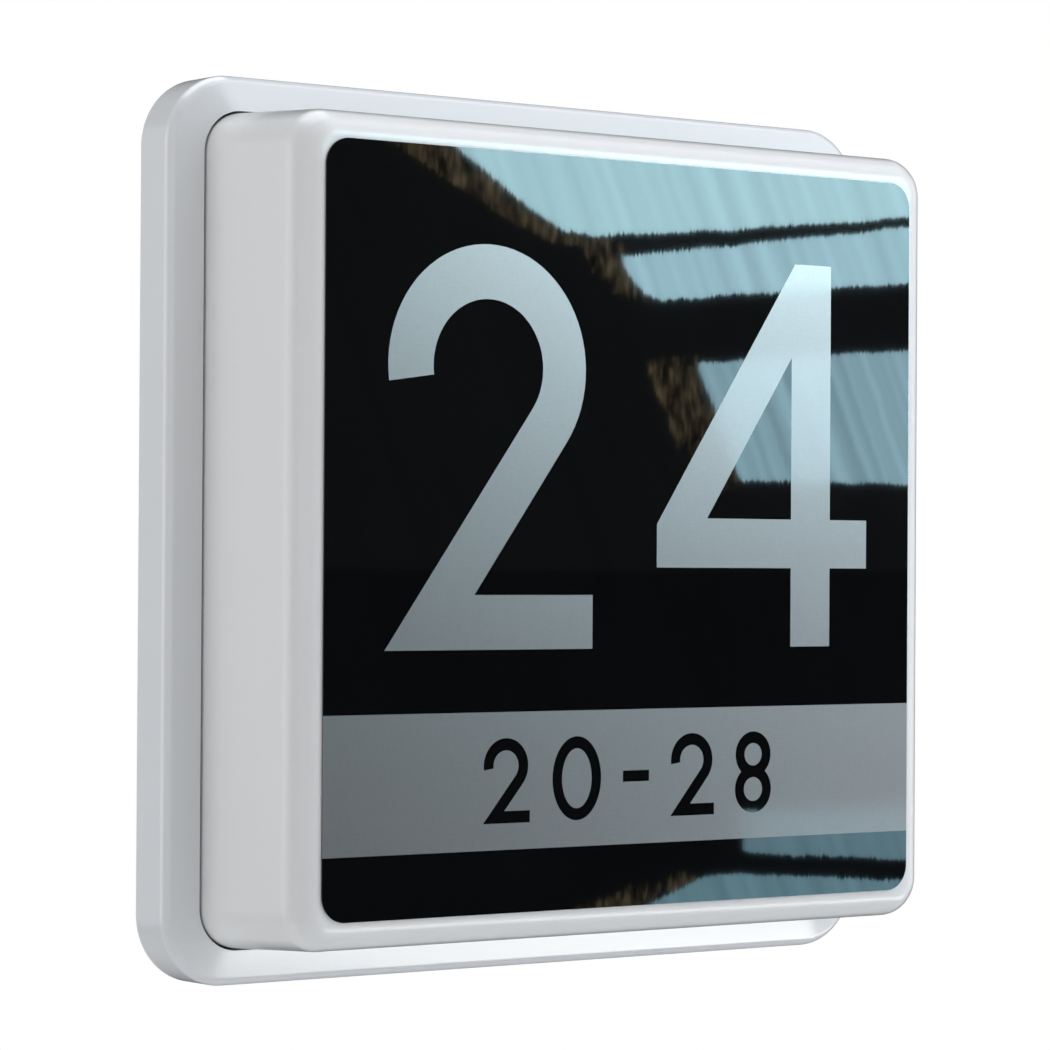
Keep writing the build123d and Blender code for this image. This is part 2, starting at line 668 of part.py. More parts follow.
films = []
for name, back in (("silver_film", cover_face_depth), ("black_film", cover_face_depth + panel_layer)):
    with BuildPart() as film:
        with BuildSketch(Plane.XZ.offset(back)):
            RectangleRounded(2 * panel_half, 2 * panel_half, panel_corner_radius)
        extrude(amount=panel_layer)
    film.part.label = name
    films.append(film.part)

# ---------------------------------------------------------------- files
os.makedirs("parts", exist_ok=True)
pieces = [
    base_tray.part,
    cover_seal.part,
    cable_grommet.part,
    reflector_pan.part,
    reflector_screws.part,
    *led_boards,
    led_board_screws.part,
    led_chips.part,
    led_lenses.part,
    board_connectors.part,
    driver_case.part,
    driver_lid.part,
    driver_board.part,
    driver_transformer.part,
    driver_capacitors.part,
    driver_screws.part,
    terminal_block.part,
    terminal_cages.part,
    terminal_screws.part,
    terminal_fixing_screws.part,
    *mains_leads,
    *led_leads,
    jumper_leads.part,
    diffuser_cover.part,
    *films,
]
for piece in pieces:
    export_step(piece, f"parts/{piece.label}.step")
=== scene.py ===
"""Looks of the illuminated house number sign, built round its fixed frame. All places are in
metres, in the frame's own axes: the wall is Y = 0 and the front faces -Y. A "depth" is a
distance from the wall towards the reader, and a "half" is a distance from the middle."""
import json
from math import acos, atan2, cos, degrees, hypot, pi, radians, sin, sqrt, tan
import random

import bmesh
import bpy
from mathutils import Euler, Matrix, Vector

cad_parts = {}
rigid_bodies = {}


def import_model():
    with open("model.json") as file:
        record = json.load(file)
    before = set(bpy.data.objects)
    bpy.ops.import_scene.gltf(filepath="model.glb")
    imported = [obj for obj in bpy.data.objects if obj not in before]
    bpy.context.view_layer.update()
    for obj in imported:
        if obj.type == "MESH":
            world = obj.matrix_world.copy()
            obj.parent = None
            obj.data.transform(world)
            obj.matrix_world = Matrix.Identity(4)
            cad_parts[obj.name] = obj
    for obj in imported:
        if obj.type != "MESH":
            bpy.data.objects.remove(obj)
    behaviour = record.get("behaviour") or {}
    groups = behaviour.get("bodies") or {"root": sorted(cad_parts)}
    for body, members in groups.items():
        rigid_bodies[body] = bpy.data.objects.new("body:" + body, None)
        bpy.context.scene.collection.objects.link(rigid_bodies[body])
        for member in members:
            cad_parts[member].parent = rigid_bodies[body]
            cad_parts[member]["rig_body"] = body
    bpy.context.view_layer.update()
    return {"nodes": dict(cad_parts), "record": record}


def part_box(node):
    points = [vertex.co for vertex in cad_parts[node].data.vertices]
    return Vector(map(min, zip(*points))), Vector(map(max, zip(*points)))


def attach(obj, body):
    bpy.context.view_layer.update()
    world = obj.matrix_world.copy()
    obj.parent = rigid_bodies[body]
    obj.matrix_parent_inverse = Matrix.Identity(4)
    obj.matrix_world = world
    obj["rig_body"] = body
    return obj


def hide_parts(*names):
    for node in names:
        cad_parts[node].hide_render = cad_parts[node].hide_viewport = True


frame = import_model()

MM = 0.001


# ------------------------------------------------------------------ places read from the frame
def islands(node):
    """(lowest, highest) corner of each separate solid of a node."""
    mesh = frame["nodes"][node].data
    spots = [tuple(round(value, 6) for value in vertex.co) for vertex in mesh.vertices]
    parent = {spot: spot for spot in spots}

    def root(spot):
        while parent[spot] != spot:
            spot = parent[spot]
        return spot

    for polygon in mesh.polygons:
        first, *others = [root(spots[i]) for i in polygon.vertices]
        for other in others:
            parent[root(other)] = root(first)
    solids = {}
    for spot in parent:
        solids.setdefault(root(spot), []).append(spot)
    boxes = []
    for members in solids.values():
        low = Vector([min(values) for values in zip(*members)])
        high = Vector([max(values) for values in zip(*members)])
        boxes.append((low, high))
    return boxes


def middles(node):
    """(x, z) in the middle of each separate solid of a node."""
    return [((low.x + high.x) / 2, (low.z + high.z) / 2) for low, high in islands(node)]


def middle_at(low, high, y):
    """The middle of a box as the reader sees it, moved to a given Y."""
    return ((low.x + high.x) / 2, y, (low.z + high.z) / 2)


base_low, base_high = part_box("base_tray")
cover_low, cover_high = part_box("diffuser_cover")
panel_low, panel_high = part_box("black_film")
seal_low, seal_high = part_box("cover_seal")
grommet_low, grommet_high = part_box("cable_grommet")
mounts = {mount["name"]: mount for mount in frame["record"]["mounts"]}

base_half = base_high.x
flange_depth = -base_low.y
panel_half = panel_high.x
panel_front = -panel_low.y
panel_back = -panel_high.y
silver_back = -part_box("silver_film")[1].y
skirt_depth = -cover_high.y
cover_face_depth = -cover_low.y
floor_thickness = -seal_high.y
pan_depth = -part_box("reflector_pan")[1].y
pan_screws = middles("reflector_screws")
foot_screws = middles("driver_screws") + middles("terminal_fixing_screws")

# ------------------------------------------------------------------ sizes of the mouldings
base_corner_radius = 19 * MM
side_wall_depth = 14.2 * MM
flange_width = 9.6 * MM
flange_rise = flange_depth - side_wall_depth
flange_edge_radius = 3 * MM
housing_wall = 2.4 * MM
opening_half = base_half - flange_width
opening_corner_radius = 11.5 * MM
groove_depth = side_wall_depth - housing_wall
groove_inner = opening_half + housing_wall
groove_outer = base_half - housing_wall

web_count = 7
web_length = 7.2 * MM
web_thickness = 1.6 * MM
web_setback = 0.8 * MM
web_pitch = 2 * (opening_half - base_corner_radius) / web_count

seal_rib_half = opening_half - 4.6 * MM
seal_rib_wall = 1.6 * MM
seal_rib_depth = floor_thickness + 6 * MM
rib_corner_radius = 6.9 * MM
boss_radius = 3.6 * MM
foot_depth = 6 * MM
pilot_radius = 1.3 * MM
screw_grip = 5.05 * MM
pad_margin = 3 * MM
pad_depth = floor_thickness + 1.5 * MM
entry_recess_radius = 11.5 * MM
entry_recess_depth = 2 * MM
entry_rim_radius = 13.5 * MM
entry_rim_depth = 4.5 * MM
entry_hole_radius = 7.5 * MM

cover_gap = 0.5 * MM
cover_half = opening_half - cover_gap
cover_corner_radius = opening_corner_radius - cover_gap
cover_wall = 2.4 * MM
cover_draft = radians(2.85)
cover_edge_radius = 7.4 * MM
skirt_step = 0.2 * MM
skirt_half = cover_half - skirt_step
panel_corner_radius = 7.1 * MM

snap_offset = 55 * MM
snap_length = 14 * MM
snap_thickness = 1.6 * MM
lug_reach = 0.25 * MM
lug_depth = 10.2 * MM
ridge_reach = 0.2 * MM
ridge_depth = 12.6 * MM

corner_steps = 20
rounding_steps = 14
entry_sides = 96
sharp_angle = radians(35)


# ------------------------------------------------------------------ mesh helpers
def finish_mesh(name, mesh):
    """Gives the mesh an object, with smooth shading that stops at sharp edges."""
    mesh.name = name
    for polygon in mesh.polygons:
        polygon.use_smooth = True
    mesh.set_sharp_from_angle(angle=sharp_angle)
    piece = bpy.data.objects.new(name, mesh)
    bpy.context.scene.collection.objects.link(piece)
    return piece


def weight_normals(piece):
    """Keeps large flat faces flat beside narrow rounded ones."""
    modifier = piece.modifiers.new("weighted", "WEIGHTED_NORMAL")
    modifier.keep_sharp = True
    modifier.weight = 100
    return piece


def mesh_of(shape):
    mesh = bpy.data.meshes.new("shape")
    bmesh.ops.recalc_face_normals(shape, faces=shape.faces)
    shape.to_mesh(mesh)
    shape.free()
    return mesh


def joined(meshes):
    """One mesh of several, as separate shells."""
    shape = bmesh.new()
    for mesh in meshes:
        shape.from_mesh(mesh)
        bpy.data.meshes.remove(mesh)
    return mesh_of(shape)


def combined(first, second, operation):
    """Two closed meshes united, or the second cut out of the first."""
    holders = [bpy.data.objects.new("holder", mesh) for mesh in (first, second)]
    for holder in holders:
        bpy.context.scene.collection.objects.link(holder)
    modifier = holders[0].modifiers.new("boolean", "BOOLEAN")
    modifier.operation = operation
    modifier.solver = "EXACT"
    modifier.object = holders[1]
    graph = bpy.context.evaluated_depsgraph_get()
    result = bpy.data.meshes.new_from_object(holders[0].evaluated_get(graph))
    for holder in holders:
        bpy.data.objects.remove(holder)
    for mesh in (first, second):
        bpy.data.meshes.remove(mesh)
    return result


def copied(mesh, places):
    """One mesh of copies of a small one, each moved to its place."""
    shape = bmesh.new()
    for place in places:
        start = len(shape.verts)
        shape.from_mesh(mesh)
        shape.verts.ensure_lookup_table()
        bmesh.ops.translate(shape, verts=shape.verts[start:], vec=place)
    bpy.data.meshes.remove(mesh)
    return mesh_of(shape)


def rectangle(middle_x, middle_z, width, height):
    x, z = width / 2, height / 2
    return [(middle_x + sx * x, middle_z + sz * z) for sx, sz in ((-1, -1), (1, -1), (1, 1), (-1, 1))]


def arc_points(middle_x, middle_z, radius, start, end, steps=48):
    angles = [radians(start + (end - start) * i / steps) for i in range(steps + 1)]
    return [(middle_x + radius * cos(a), middle_z + radius * sin(a)) for a in angles]


def circle(middle_x, middle_z, radius, sides=48):
    return arc_points(middle_x, middle_z, radius, 0, 360, sides)[:-1]


def slot_outline(middle_x, middle_z, length, width):
    reach = (length - width) / 2
    right = arc_points(middle_x + reach, middle_z, width / 2, -90, 90, steps=16)
    left = arc_points(middle_x - reach, middle_z, width / 2, 90, 270, steps=16)
    return right + left


def rounded_square(half, radius):
    """(x, z) points of a rounded square, anticlockwise for the reader."""
    points = []
    for quarter in range(4):
        middle_x = (half - radius) * (1 if quarter in (0, 3) else -1)
        middle_z = (half - radius) * (1 if quarter in (0, 1) else -1)
        points += arc_points(middle_x, middle_z, radius, 90 * quarter, 90 * quarter + 90, corner_steps)
    return points


def on_four_sides(half, offsets, across, along):
    """Rectangles across the four sides of a square, at offsets along each."""
    loops = []
    for offset in offsets:
        for side in (-half, half):
            loops.append(rectangle(side, offset, across, along))
            loops.append(rectangle(offset, side, along, across))
    return loops


def loft(sections, closed=False):
    """A skin through rounded squares, each given as (half side, depth, corner radius)."""
    shape = bmesh.new()
    rings = []
    for half, depth, radius in sections:
        rings.append([shape.verts.new((x, -depth, z)) for x, z in rounded_square(half, radius)])
    pairs = list(zip(rings, rings[1:]))
    if closed:
        pairs.append((rings[-1], rings[0]))
    else:
        shape.faces.new(rings[0])
        shape.faces.new(rings[-1])
    for lower, upper in pairs:
        for i in range(len(lower)):
            j = (i + 1) % len(lower)
            shape.faces.new((lower[i], lower[j], upper[j], upper[i]))
    return mesh_of(shape)


def profile_arc(middle_half, middle_depth, radius, start, end, steps=rounding_steps):
    """(half, depth) points of an arc in the wall's section; angle 0 points outwards."""
    angles = [start + (end - start) * i / steps for i in range(steps + 1)]
    return [(middle_half + radius * cos(a), middle_depth + radius * sin(a)) for a in angles]


def turned(profile, closed=False, sides=48):
    """A mesh turned about the Y axis from (radius, depth) points, in mm from its own seat."""
    shape = bmesh.new()
    rings = []
    for radius, depth in profile:
        count = sides if radius > 0 else 1
        turns = [2 * pi * i / sides for i in range(count)]
        spots = [(radius * MM * cos(a), -depth * MM, radius * MM * sin(a)) for a in turns]
        rings.append([shape.verts.new(spot) for spot in spots])
    pairs = list(zip(rings, rings[1:]))
    if closed:
        pairs.append((rings[-1], rings[0]))
    for lower, upper in pairs:
        for i in range(sides):
            j = (i + 1) % sides
            around = ((lower, i), (lower, j), (upper, j), (upper, i))
            corners = [ring[k % len(ring)] for ring, k in around]
            shape.faces.new(list(dict.fromkeys(corners)))
    return mesh_of(shape)


def prism(loops, back, front):
    """A mesh of flat outlines, holes inside outlines, between two depths."""
    curve = bpy.data.curves.new("outline", "CURVE")
    curve.dimensions = "2D"
    curve.fill_mode = "BOTH"
    for loop in loops:
        spline = curve.splines.new("POLY")
        spline.points.add(len(loop) - 1)
        for point, (x, z) in zip(spline.points, loop):
            point.co = (x, z, 0, 1)
        spline.use_cyclic_u = True
    curve.extrude = (front - back) / 2
    holder = bpy.data.objects.new("outline", curve)
    flat = bpy.data.meshes.new_from_object(holder)
    bpy.data.objects.remove(holder)
    bpy.data.curves.remove(curve)
    middle = (front + back) / 2
    for vertex in flat.vertices:
        x, z, offset = vertex.co
        vertex.co = (x, -middle - offset, z)
    shape = bmesh.new()
    shape.from_mesh(flat)
    bpy.data.meshes.remove(flat)
    bmesh.ops.remove_doubles(shape, verts=shape.verts, dist=1e-6)
    return mesh_of(shape)


# ------------------------------------------------------------------ housing, seal and cover
def housing_sections():
    """Back of the floor, groove behind the flange, side wall, flange and well."""
    slope = atan2(flange_rise, flange_width)
    turn = pi / 2 - slope
    setback = flange_edge_radius * tan(turn / 2)
    arc_middle = (base_half - flange_edge_radius, side_wall_depth - setback)
    lip = 0.3 * MM
    inner_radius = opening_corner_radius + housing_wall

    def concentric(half):
        return base_corner_radius - (base_half - half)

    sections = [
        (groove_inner, 0, inner_radius),
        (groove_inner, groove_depth, inner_radius),
        (groove_outer, groove_depth, concentric(groove_outer)),
        (groove_outer, 0, concentric(groove_outer)),
        (base_half - lip, 0, concentric(base_half - lip)),
        (base_half, lip, concentric(base_half)),
    ]
    for half, depth in profile_arc(*arc_middle, flange_edge_radius, 0, turn):
        sections.append((half, depth, concentric(half)))
    rim = opening_half + lip
    sections.append((rim, flange_depth - lip * tan(slope), opening_corner_radius + lip))
    sections.append((opening_half + lip / 3, flange_depth - lip / 4, opening_corner_radius + lip / 3))
    sections.append((opening_half, flange_depth - lip, opening_corner_radius))
    sections.append((opening_half, floor_thickness, opening_corner_radius))
    return sections


def make_housing():
    """The shell with the webs, ribs, bosses and pads that it carries, and its holes."""
    screw_mount = mounts["wall_screws"]["dims"]
    slot_x, slot_z = screw_mount["spacing_x_mm"] * MM / 2, screw_mount["spacing_y_mm"] * MM / 2
    slot_length, slot_width = screw_mount["slot_length_mm"] * MM, 2 * screw_mount["hole_r_mm"] * MM
    slots = [(sx * slot_x, sz * slot_z) for sx in (-1, 1) for sz in (-1, 1)]
    entry = (mounts["cable_entry"]["pos_m"][0], mounts["cable_entry"]["pos_m"][2])
    web_offsets = [(i - (web_count - 1) / 2) * web_pitch for i in range(web_count)]
    snap_offsets = (-snap_offset, snap_offset)
    columns = sorted({round(x, 5) for x, _ in pan_screws})
    rows = sorted({round(z, 5) for _, z in pan_screws})
    middle_z, height = (rows[0] + rows[-1]) / 2, rows[-1] - rows[0]
    width = columns[-1] - columns[0]
    brace_depth = (floor_thickness + pan_depth) / 2
    sunk = floor_thickness / 2
    rib_inner_radius = rib_corner_radius - seal_rib_wall

    added = [
        (
            on_four_sides((groove_inner + groove_outer) / 2, web_offsets, web_length, web_thickness),
            web_setback,
            groove_depth + housing_wall / 2,
        ),
        (
            [
                rounded_square(seal_rib_half, rib_corner_radius),
                rounded_square(seal_rib_half - seal_rib_wall, rib_inner_radius),
            ],
            sunk,
            seal_rib_depth,
        ),
        (
            on_four_sides(opening_half, snap_offsets, 2 * ridge_reach, snap_length),
            ridge_depth - snap_thickness / 2,
            ridge_depth + snap_thickness / 2,
        ),
        ([rectangle(x, middle_z, web_thickness, height) for x in columns], sunk, brace_depth),
        ([rectangle(0, z, width, web_thickness) for z in rows], sunk, brace_depth),
        ([circle(x, z, boss_radius) for x, z in pan_screws], sunk, pan_depth),
        ([circle(x, z, boss_radius) for x, z in foot_screws], sunk, foot_depth),
        (
            [rectangle(x, z, slot_length + 2 * pad_margin, slot_width + 2 * pad_margin) for x, z in slots],
            sunk,
            pad_depth,
        ),
        ([circle(*entry, entry_rim_radius, entry_sides)], sunk, entry_rim_depth),
    ]
    over = MM / 2
    cut = [
        ([slot_outline(x, z, slot_length, slot_width) for x, z in slots], -over, pad_depth + over),
        ([circle(*entry, entry_recess_radius, entry_sides)], -over, entry_recess_depth),
        ([circle(*entry, entry_hole_radius, entry_sides)], -over, entry_rim_depth + over),
        ([circle(x, z, pilot_radius) for x, z in pan_screws], pan_depth - screw_grip, pan_depth + over),
        ([circle(x, z, pilot_radius) for x, z in foot_screws], foot_depth - screw_grip, foot_depth + over),
    ]
    mesh = loft(housing_sections())
    for loops, back, front in added:
        mesh = combined(mesh, prism(loops, back, front), "UNION")
    for loops, back, front in cut:
        mesh = combined(mesh, prism(loops, back, front), "DIFFERENCE")
    return weight_normals(finish_mesh("housing", mesh))


def make_seal():
    """A silicone ring with a rounded front edge."""
    outer, front = seal_high.x, -seal_low.y
    width, edge, edge_steps = 4.3 * MM, 1.0 * MM, 6
    corner = opening_corner_radius - (opening_half - outer)
    bead = profile_arc(outer - edge, front - edge, edge, 0, pi / 2, edge_steps)
    bead += profile_arc(outer - width + edge, front - edge, edge, pi / 2, pi, edge_steps)
    section = [(outer - width, floor_thickness), (outer, floor_thickness)] + bead
    mesh = loft([(half, depth, corner - (outer - half)) for half, depth in section], closed=True)
    return finish_mesh("seal_ring", mesh)


def cover_shell(outer_half, face_depth, corner_radius, edge_radius):
    """Sections of the cover's leaning side and rounding, from the flange to the face."""
    lean = tan(cover_draft)
    middle_depth = face_depth - edge_radius
    side_half = outer_half - (middle_depth - flange_depth) * lean
    middle_half = side_half - edge_radius / cos(cover_draft)
    sections = [(outer_half, flange_depth, corner_radius)]
    arc = profile_arc(middle_half, middle_depth, edge_radius, cover_draft, pi / 2)
    for half, depth in arc:
        sections.append((half, depth, corner_radius - (arc[0][0] - half)))
    return sections


def make_cover():
    """The opal shell with its straight skirt and the snap lugs on that."""
    skin = cover_shell(cover_half, cover_face_depth, cover_corner_radius, cover_edge_radius)
    hollow_half = cover_half - cover_wall
    hollow_radius = cover_corner_radius - cover_wall
    hollow_depth = cover_face_depth - cover_wall
    hollow = cover_shell(hollow_half, hollow_depth, hollow_radius, cover_edge_radius - cover_wall)
    skirt_hollow = hollow_half + skirt_step
    skirt = [
        (skirt_hollow, flange_depth, hollow_radius),
        (skirt_hollow, skirt_depth, hollow_radius),
        (skirt_half, skirt_depth, cover_corner_radius),
        (skirt_half, flange_depth, cover_corner_radius),
    ]
    sections = hollow[::-1] + skirt + skin
    lugs = prism(
        on_four_sides(skirt_half, (-snap_offset, snap_offset), 2 * lug_reach, snap_length),
        lug_depth - snap_thickness / 2,
        lug_depth + snap_thickness / 2,
    )
    return weight_normals(finish_mesh("cover", combined(loft(sections), lugs, "UNION")))


# ------------------------------------------------------------------ small round pieces
def screw_mesh(shank, head):
    """A pan-head screw with a cross recess, seated at depth 0; sizes in mm."""
    radius, shank_radius = 2.8, 1.25
    point_length, point_taper = 0.6, 0.4
    rim_share, dome_steps = 0.3, 9
    cross_length, cross_width, cross_floor, past_head = 3.2, 0.8, 0.7, 3
    profile = [
        (0, -shank),
        (shank_radius - point_taper, -shank),
        (shank_radius, point_length - shank),
        (shank_radius, 0),
        (radius, 0),
        (radius, rim_share * head),
    ]
    for i in range(1, dome_steps):
        angle = radians(90 * i / dome_steps)
        profile.append((radius * cos(angle), head * (rim_share + (1 - rim_share) * sin(angle))))
    profile.append((0, head))
    mesh = turned(profile, sides=40)
    for width, height in ((cross_length, cross_width), (cross_width, cross_length)):
        arm = prism([rectangle(0, 0, width * MM, height * MM)], cross_floor * MM, past_head * MM)
        mesh = combined(mesh, arm, "DIFFERENCE")
    return mesh


def make_screws(name, node):
    """Screws in place of a node's plain ones, as long as those are."""
    boxes = islands(node)
    low, high = boxes[0]
    head = 1.8
    shank = (high.y - low.y) / MM - head
    seats = [middle_at(a, b, a.y + head * MM) for a, b in boxes]
    return finish_mesh(name, copied(screw_mesh(shank, head), seats))


def make_clamp_screws():
    """Slotted screws of the terminals."""
    boxes = islands("terminal_screws")
    low, high = boxes[0]
    radius, height = (high.x - low.x) / 2 / MM, (high.y - low.y) / MM
    bevel, slot_depth, slot_width, slot_length = 0.3, 0.9, 0.6, 2.2 * radius
    profile = [(0, 0), (radius, 0), (radius, height - bevel), (radius - bevel, height), (0, height)]
    mesh = turned(profile, sides=32)
    opening = rectangle(0, 0, slot_length * MM, slot_width * MM)
    slot = prism([opening], (height - slot_depth) * MM, (height + 1) * MM)
    seats = [middle_at(a, b, b.y) for a, b in boxes]
    return finish_mesh("clamp_screws", copied(combined(mesh, slot, "DIFFERENCE"), seats))


def make_lenses():
    """Wide-angle lenses: a domed cone on a rim, with a dimple in front and a pocket behind."""
    radius, height, rim, bevel = 6.0, 4.4, 1.4, 0.3
    pocket_radius, pocket_depth = 1.9, 1.1
    crown_radius, dome_reach, dome_steps = 1.7, radius - 1.9, 9
    dimple = [(1.4, 0), (1.0, 0.3), (0.5, 0.7), (0, 0.8)]
    profile = [(0, pocket_depth), (pocket_radius, pocket_depth), (pocket_radius, 0)]
    profile += [(radius - bevel, 0), (radius, bevel), (radius, rim)]
    for i in range(1, dome_steps):
        angle = radians(90 * i / dome_steps)
        profile.append((crown_radius + dome_reach * cos(angle), rim + (height - rim) * sin(angle)))
    profile += [(reach, height - drop) for reach, drop in dimple]
    seats = [middle_at(low, high, high.y) for low, high in islands("led_lenses")]
    return finish_mesh("lenses", copied(turned(profile), seats))


def make_grommet():
    """Rubber grommet: flange, neck, lip and a nose that narrows towards its end."""
    back, front = -grommet_high.y / MM, -grommet_low.y / MM
    flange = (grommet_high.x - grommet_low.x) / 2 / MM
    bore, nose, neck, lip = 4.25, 5.8, entry_hole_radius / MM - 0.1, 8.6
    recess, rim = entry_recess_depth / MM, entry_rim_depth / MM
    profile = [
        (bore, back + 0.3),
        (bore + 0.3, back),
        (flange - 0.4, back),
        (flange, back + 0.4),
        (flange, recess),
        (neck, recess),
        (neck, rim),
        (lip, rim),
        (lip, rim + 0.5),
        (lip - 0.5, rim + 1.2),
        (nose + 0.4, rim + 1.5),
        (nose, rim + 2.0),
        (nose - 0.4, front - 0.3),
        (nose - 0.7, front),
        (bore + 0.2, front),
        (bore, front - 0.2),
    ]
    middle = middle_at(grommet_low, grommet_high, 0)
    return finish_mesh("grommet", copied(turned(profile, closed=True, sides=72), [middle]))


def make_lead(name, node):
    """Round insulated leads along the long side of each of a node's solids."""
    end = 0.2
    bars = []
    for low, high in islands(node):
        size = high - low
        along = 0 if size.x > size.z else 2
        radius, length = size.y / 2 / MM, size[along] / MM
        profile = [(0, 0), (radius - end, 0), (radius, end)]
        profile += [(radius, length - end), (radius - end, length), (0, length)]
        mesh = turned(profile, sides=24)
        middle = (low + high) / 2
        for vertex in mesh.vertices:
            x, y, z = vertex.co
            lengthwise = low[along] - y
            if along == 0:
                vertex.co = (lengthwise, middle.y + x, middle.z + z)
            else:
                vertex.co = (middle.x + x, middle.y + z, lengthwise)
        bars.append(mesh)
    return finish_mesh(name, joined(bars))


# ------------------------------------------------------------------ numerals
def numeral_two(width, height, stroke):
    """Round bowl, straight diagonal and foot bar, as one outline."""
    radius = 0.475 * width
    inner = radius - stroke
    middle_x = 0.485 * width
    middle_z = height - radius
    terminal = 188
    # The diagonal's left edge runs from the foot's left corner and touches the bowl's inner edge
    reach = hypot(middle_x, middle_z)
    leave = atan2(-middle_z, -middle_x) + acos(inner / reach)
    outer_foot_x = middle_x + (radius - (stroke - middle_z) * sin(leave)) / cos(leave)
    outline = [(0, 0)]
    outline += arc_points(middle_x, middle_z, inner, degrees(leave), terminal)
    outline += arc_points(middle_x, middle_z, radius, terminal, degrees(leave))
    outline += [(outer_foot_x, stroke), (width, stroke), (width, 0)]
    return [outline]


def numeral_four(width, height, stroke):
    """Stem, crossbar and diagonal round a three-cornered counter."""
    stem_right = 0.82 * width
    stem_left = stem_right - stroke
    bar_low = 0.205 * height
    bar_high = bar_low + 0.94 * stroke
    peak = (stem_left + 0.08 * stroke, height)
    foot = (0, bar_high - 0.12 * stroke)
    run, rise = peak[0] - foot[0], peak[1] - foot[1]
    length = hypot(run, rise)
    normal_x, normal_z = rise / length, -run / length
    shift = 0.95 * stroke
    counter_top = peak[1] + (shift - (stem_left - peak[0]) * normal_x) / normal_z
    counter_left = peak[0] + (shift - (bar_high - peak[1]) * normal_z) / normal_x
    outline = [
        (stem_left, 0),
        (stem_right, 0),
        (stem_right, bar_low),
        (width, bar_low),
        (width, bar_high),
        (stem_right, bar_high),
        (stem_right, height),
        peak,
        foot,
        (0, bar_low),
        (stem_left, bar_low),
    ]
    counter = [(stem_left, bar_high), (stem_left, counter_top), (counter_left, bar_high)]
    return [outline, counter]


def numeral_zero(width, height, stroke):
    """An oval ring."""
    sides = 96
    angles = [2 * pi * i / sides for i in range(sides)]
    loops = []
    for inset in (0, stroke):
        half_x, half_z = width / 2 - inset, height / 2 - inset
        loops.append([(width / 2 + half_x * cos(a), height / 2 + half_z * sin(a)) for a in angles])
    return loops


def numeral_eight(width, height, stroke):
    """Two rings that share one stroke where they meet."""
    lower = 0.29 * height
    upper = (height + stroke) / 2 - lower
    middle_x = width / 2
    lower_z, upper_z = lower, height - upper
    span = upper_z - lower_z
    along = (span * span + lower * lower - upper * upper) / (2 * span)
    half_neck = sqrt(lower * lower - along * along)
    low_angle = degrees(atan2(along, half_neck))
    high_angle = degrees(atan2(along - span, half_neck))
    outline = arc_points(middle_x, lower_z, lower, 180 - low_angle, 360 + low_angle)
    outline += arc_points(middle_x, upper_z, upper, high_angle, 180 - high_angle)[1:-1]
    loops = [outline]
    for centre_z, radius in ((lower_z, lower), (upper_z, upper)):
        loops.append(circle(middle_x, centre_z, radius - stroke))
    return loops


def dash(width, foot, height):
    return [[(0, foot), (width, foot), (width, foot + height), (0, foot + height)]]


def moved(loops, x, z):
    """Loops in mm taken to their place on the panel, in metres."""
    return [[((px * MM) + x, (pz * MM) + z) for px, pz in loop] for loop in loops]


# The big number and the band: places on the panel in metres, sizes of the digits in mm
digit_height, digit_stroke = 106.5, 14.4
two_width, four_width = 68, 76
two_left, four_left, digit_foot = -81.5 * MM, 8.5 * MM, -31.0 * MM
digits = moved(numeral_two(two_width, digit_height, digit_stroke), two_left, digit_foot)
digits += moved(numeral_four(four_width, digit_height, digit_stroke), four_left, digit_foot)
band_top, band_bottom, mark_foot = -47.4 * MM, -83.7 * MM, -76.7 * MM


def band_marks():
    """A plain range of numbers, spread over the middle of the band."""
    height, stroke, gap = 22.4, 3.2, 7.5
    two, zero, eight, bar = 15.4, 16.4, 0.58 * height, 9
    signs = [
        (numeral_two(two, height, stroke), two),
        (numeral_zero(zero, height, stroke), zero),
        (dash(bar, 9.8, 3.0), bar),
        (numeral_two(two, height, stroke), two),
        (numeral_eight(eight, height, stroke), eight),
    ]
    total = sum(width for _, width in signs) + gap * (len(signs) - 1)
    x = -total / 2
    loops = []
    for sign, width in signs:
        loops += moved(sign, x * MM, mark_foot)
        x += width + gap
    return loops


def panel_outline(low, high):
    """The part of the panel's outline between two heights."""
    points = [(x, z) for x, z in rounded_square(panel_half, panel_corner_radius) if low < z < high]
    cut_low = [(-panel_half, low), (panel_half, low)] if low > -panel_half else []
    cut_high = [(panel_half, high), (-panel_half, high)] if high < panel_half else []
    middle_z = (low + high) / 2
    return sorted(points + cut_low + cut_high, key=lambda point: atan2(point[1] - middle_z, point[0]))


def evened(mesh):
    """Swaps the long thin triangles of flat faces, which a mirror shows as lines, for fuller ones."""
    nearest, flat_angle = 0.005 * MM, 0.001
    shape = bmesh.new()
    shape.from_mesh(mesh)
    bpy.data.meshes.remove(mesh)
    bmesh.ops.remove_doubles(shape, verts=shape.verts, dist=nearest)
    flat = [edge for edge in shape.edges if edge.is_manifold and edge.calc_face_angle() < flat_angle]
    bmesh.ops.beautify_fill(shape, faces=shape.faces, edges=flat, method="ANGLE")
    return mesh_of(shape)


